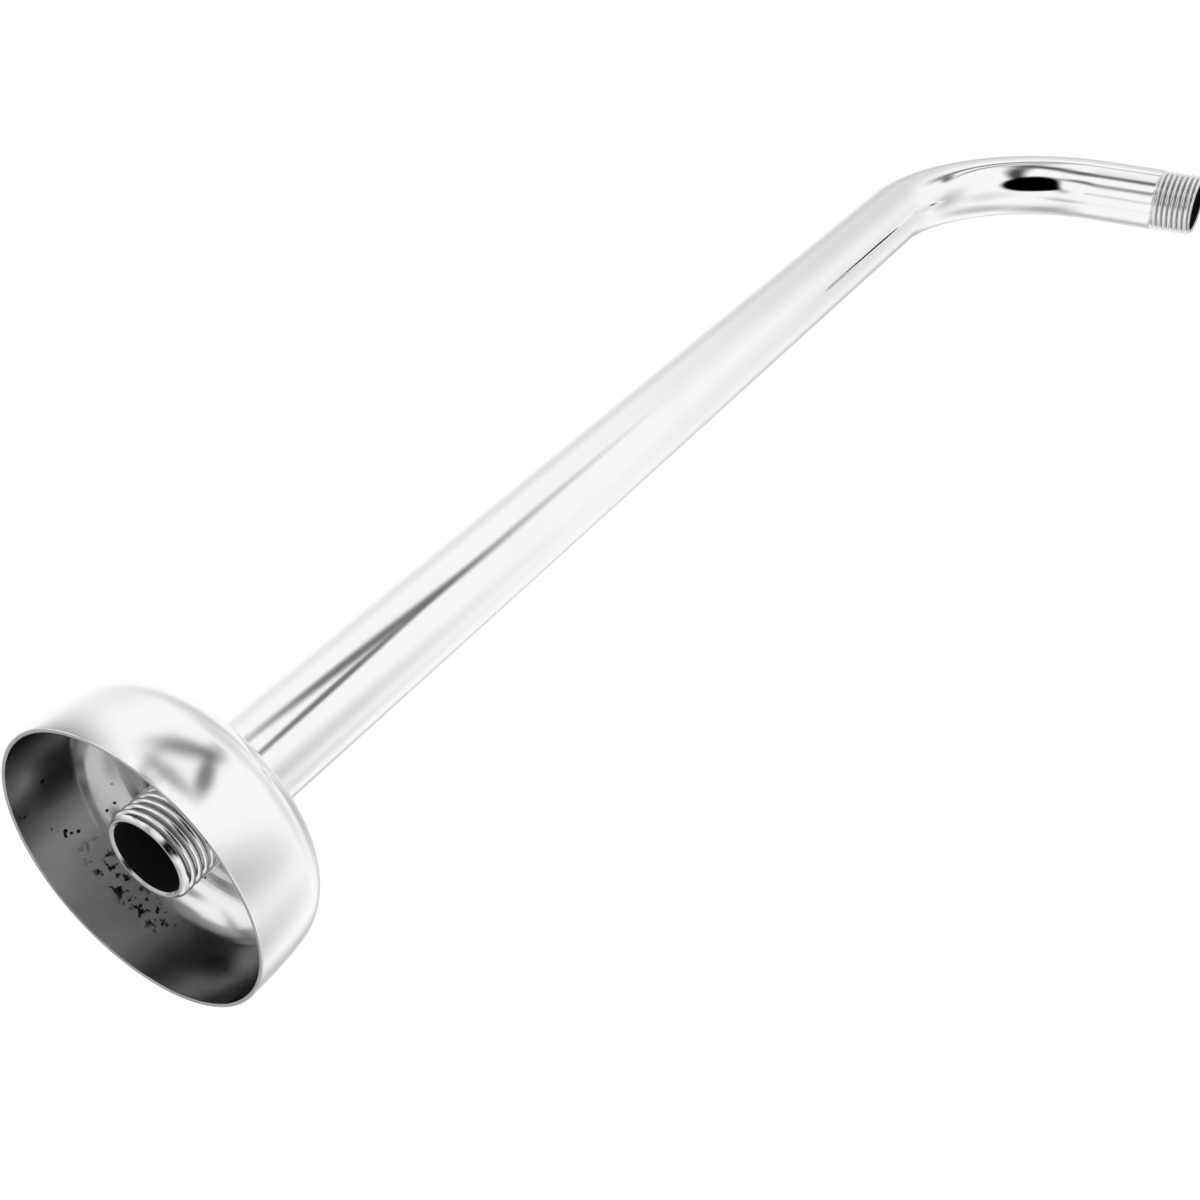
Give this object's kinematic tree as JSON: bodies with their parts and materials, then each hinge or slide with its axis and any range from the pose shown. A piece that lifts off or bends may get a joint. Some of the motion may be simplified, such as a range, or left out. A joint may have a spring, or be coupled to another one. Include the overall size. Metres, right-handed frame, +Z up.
{
  "type": "shower arm",
  "caption": "Bent wall-mounted shower arm: a chromed tube with a half-inch pipe thread at each end and a loose cup-shaped flange that slides along it to cover the wall hole.",
  "frame": {"origin": "on the tube's axis, where the wall thread ends and the plain tube begins", "axes": "+X out of the wall along the arm, +Z up, the outlet leg points to -Z"},
  "size_m": [0.4452, 0.068, 0.128],
  "materials": {
    "tube_chrome": "polished chrome plate",
    "flange_chrome": "polished chrome plate outside, thin dull plate inside"
  },
  "bodies": {
    "arm": {"arm_tube": "tube_chrome"},
    "flange": {"wall_flange": "flange_chrome"}
  },
  "joints": [
    {"name": "flange_slide", "type": "slide", "parent": "arm", "child": "flange", "axis": [1, 0, 0], "range_m": [0, 0.345]}
  ]
}
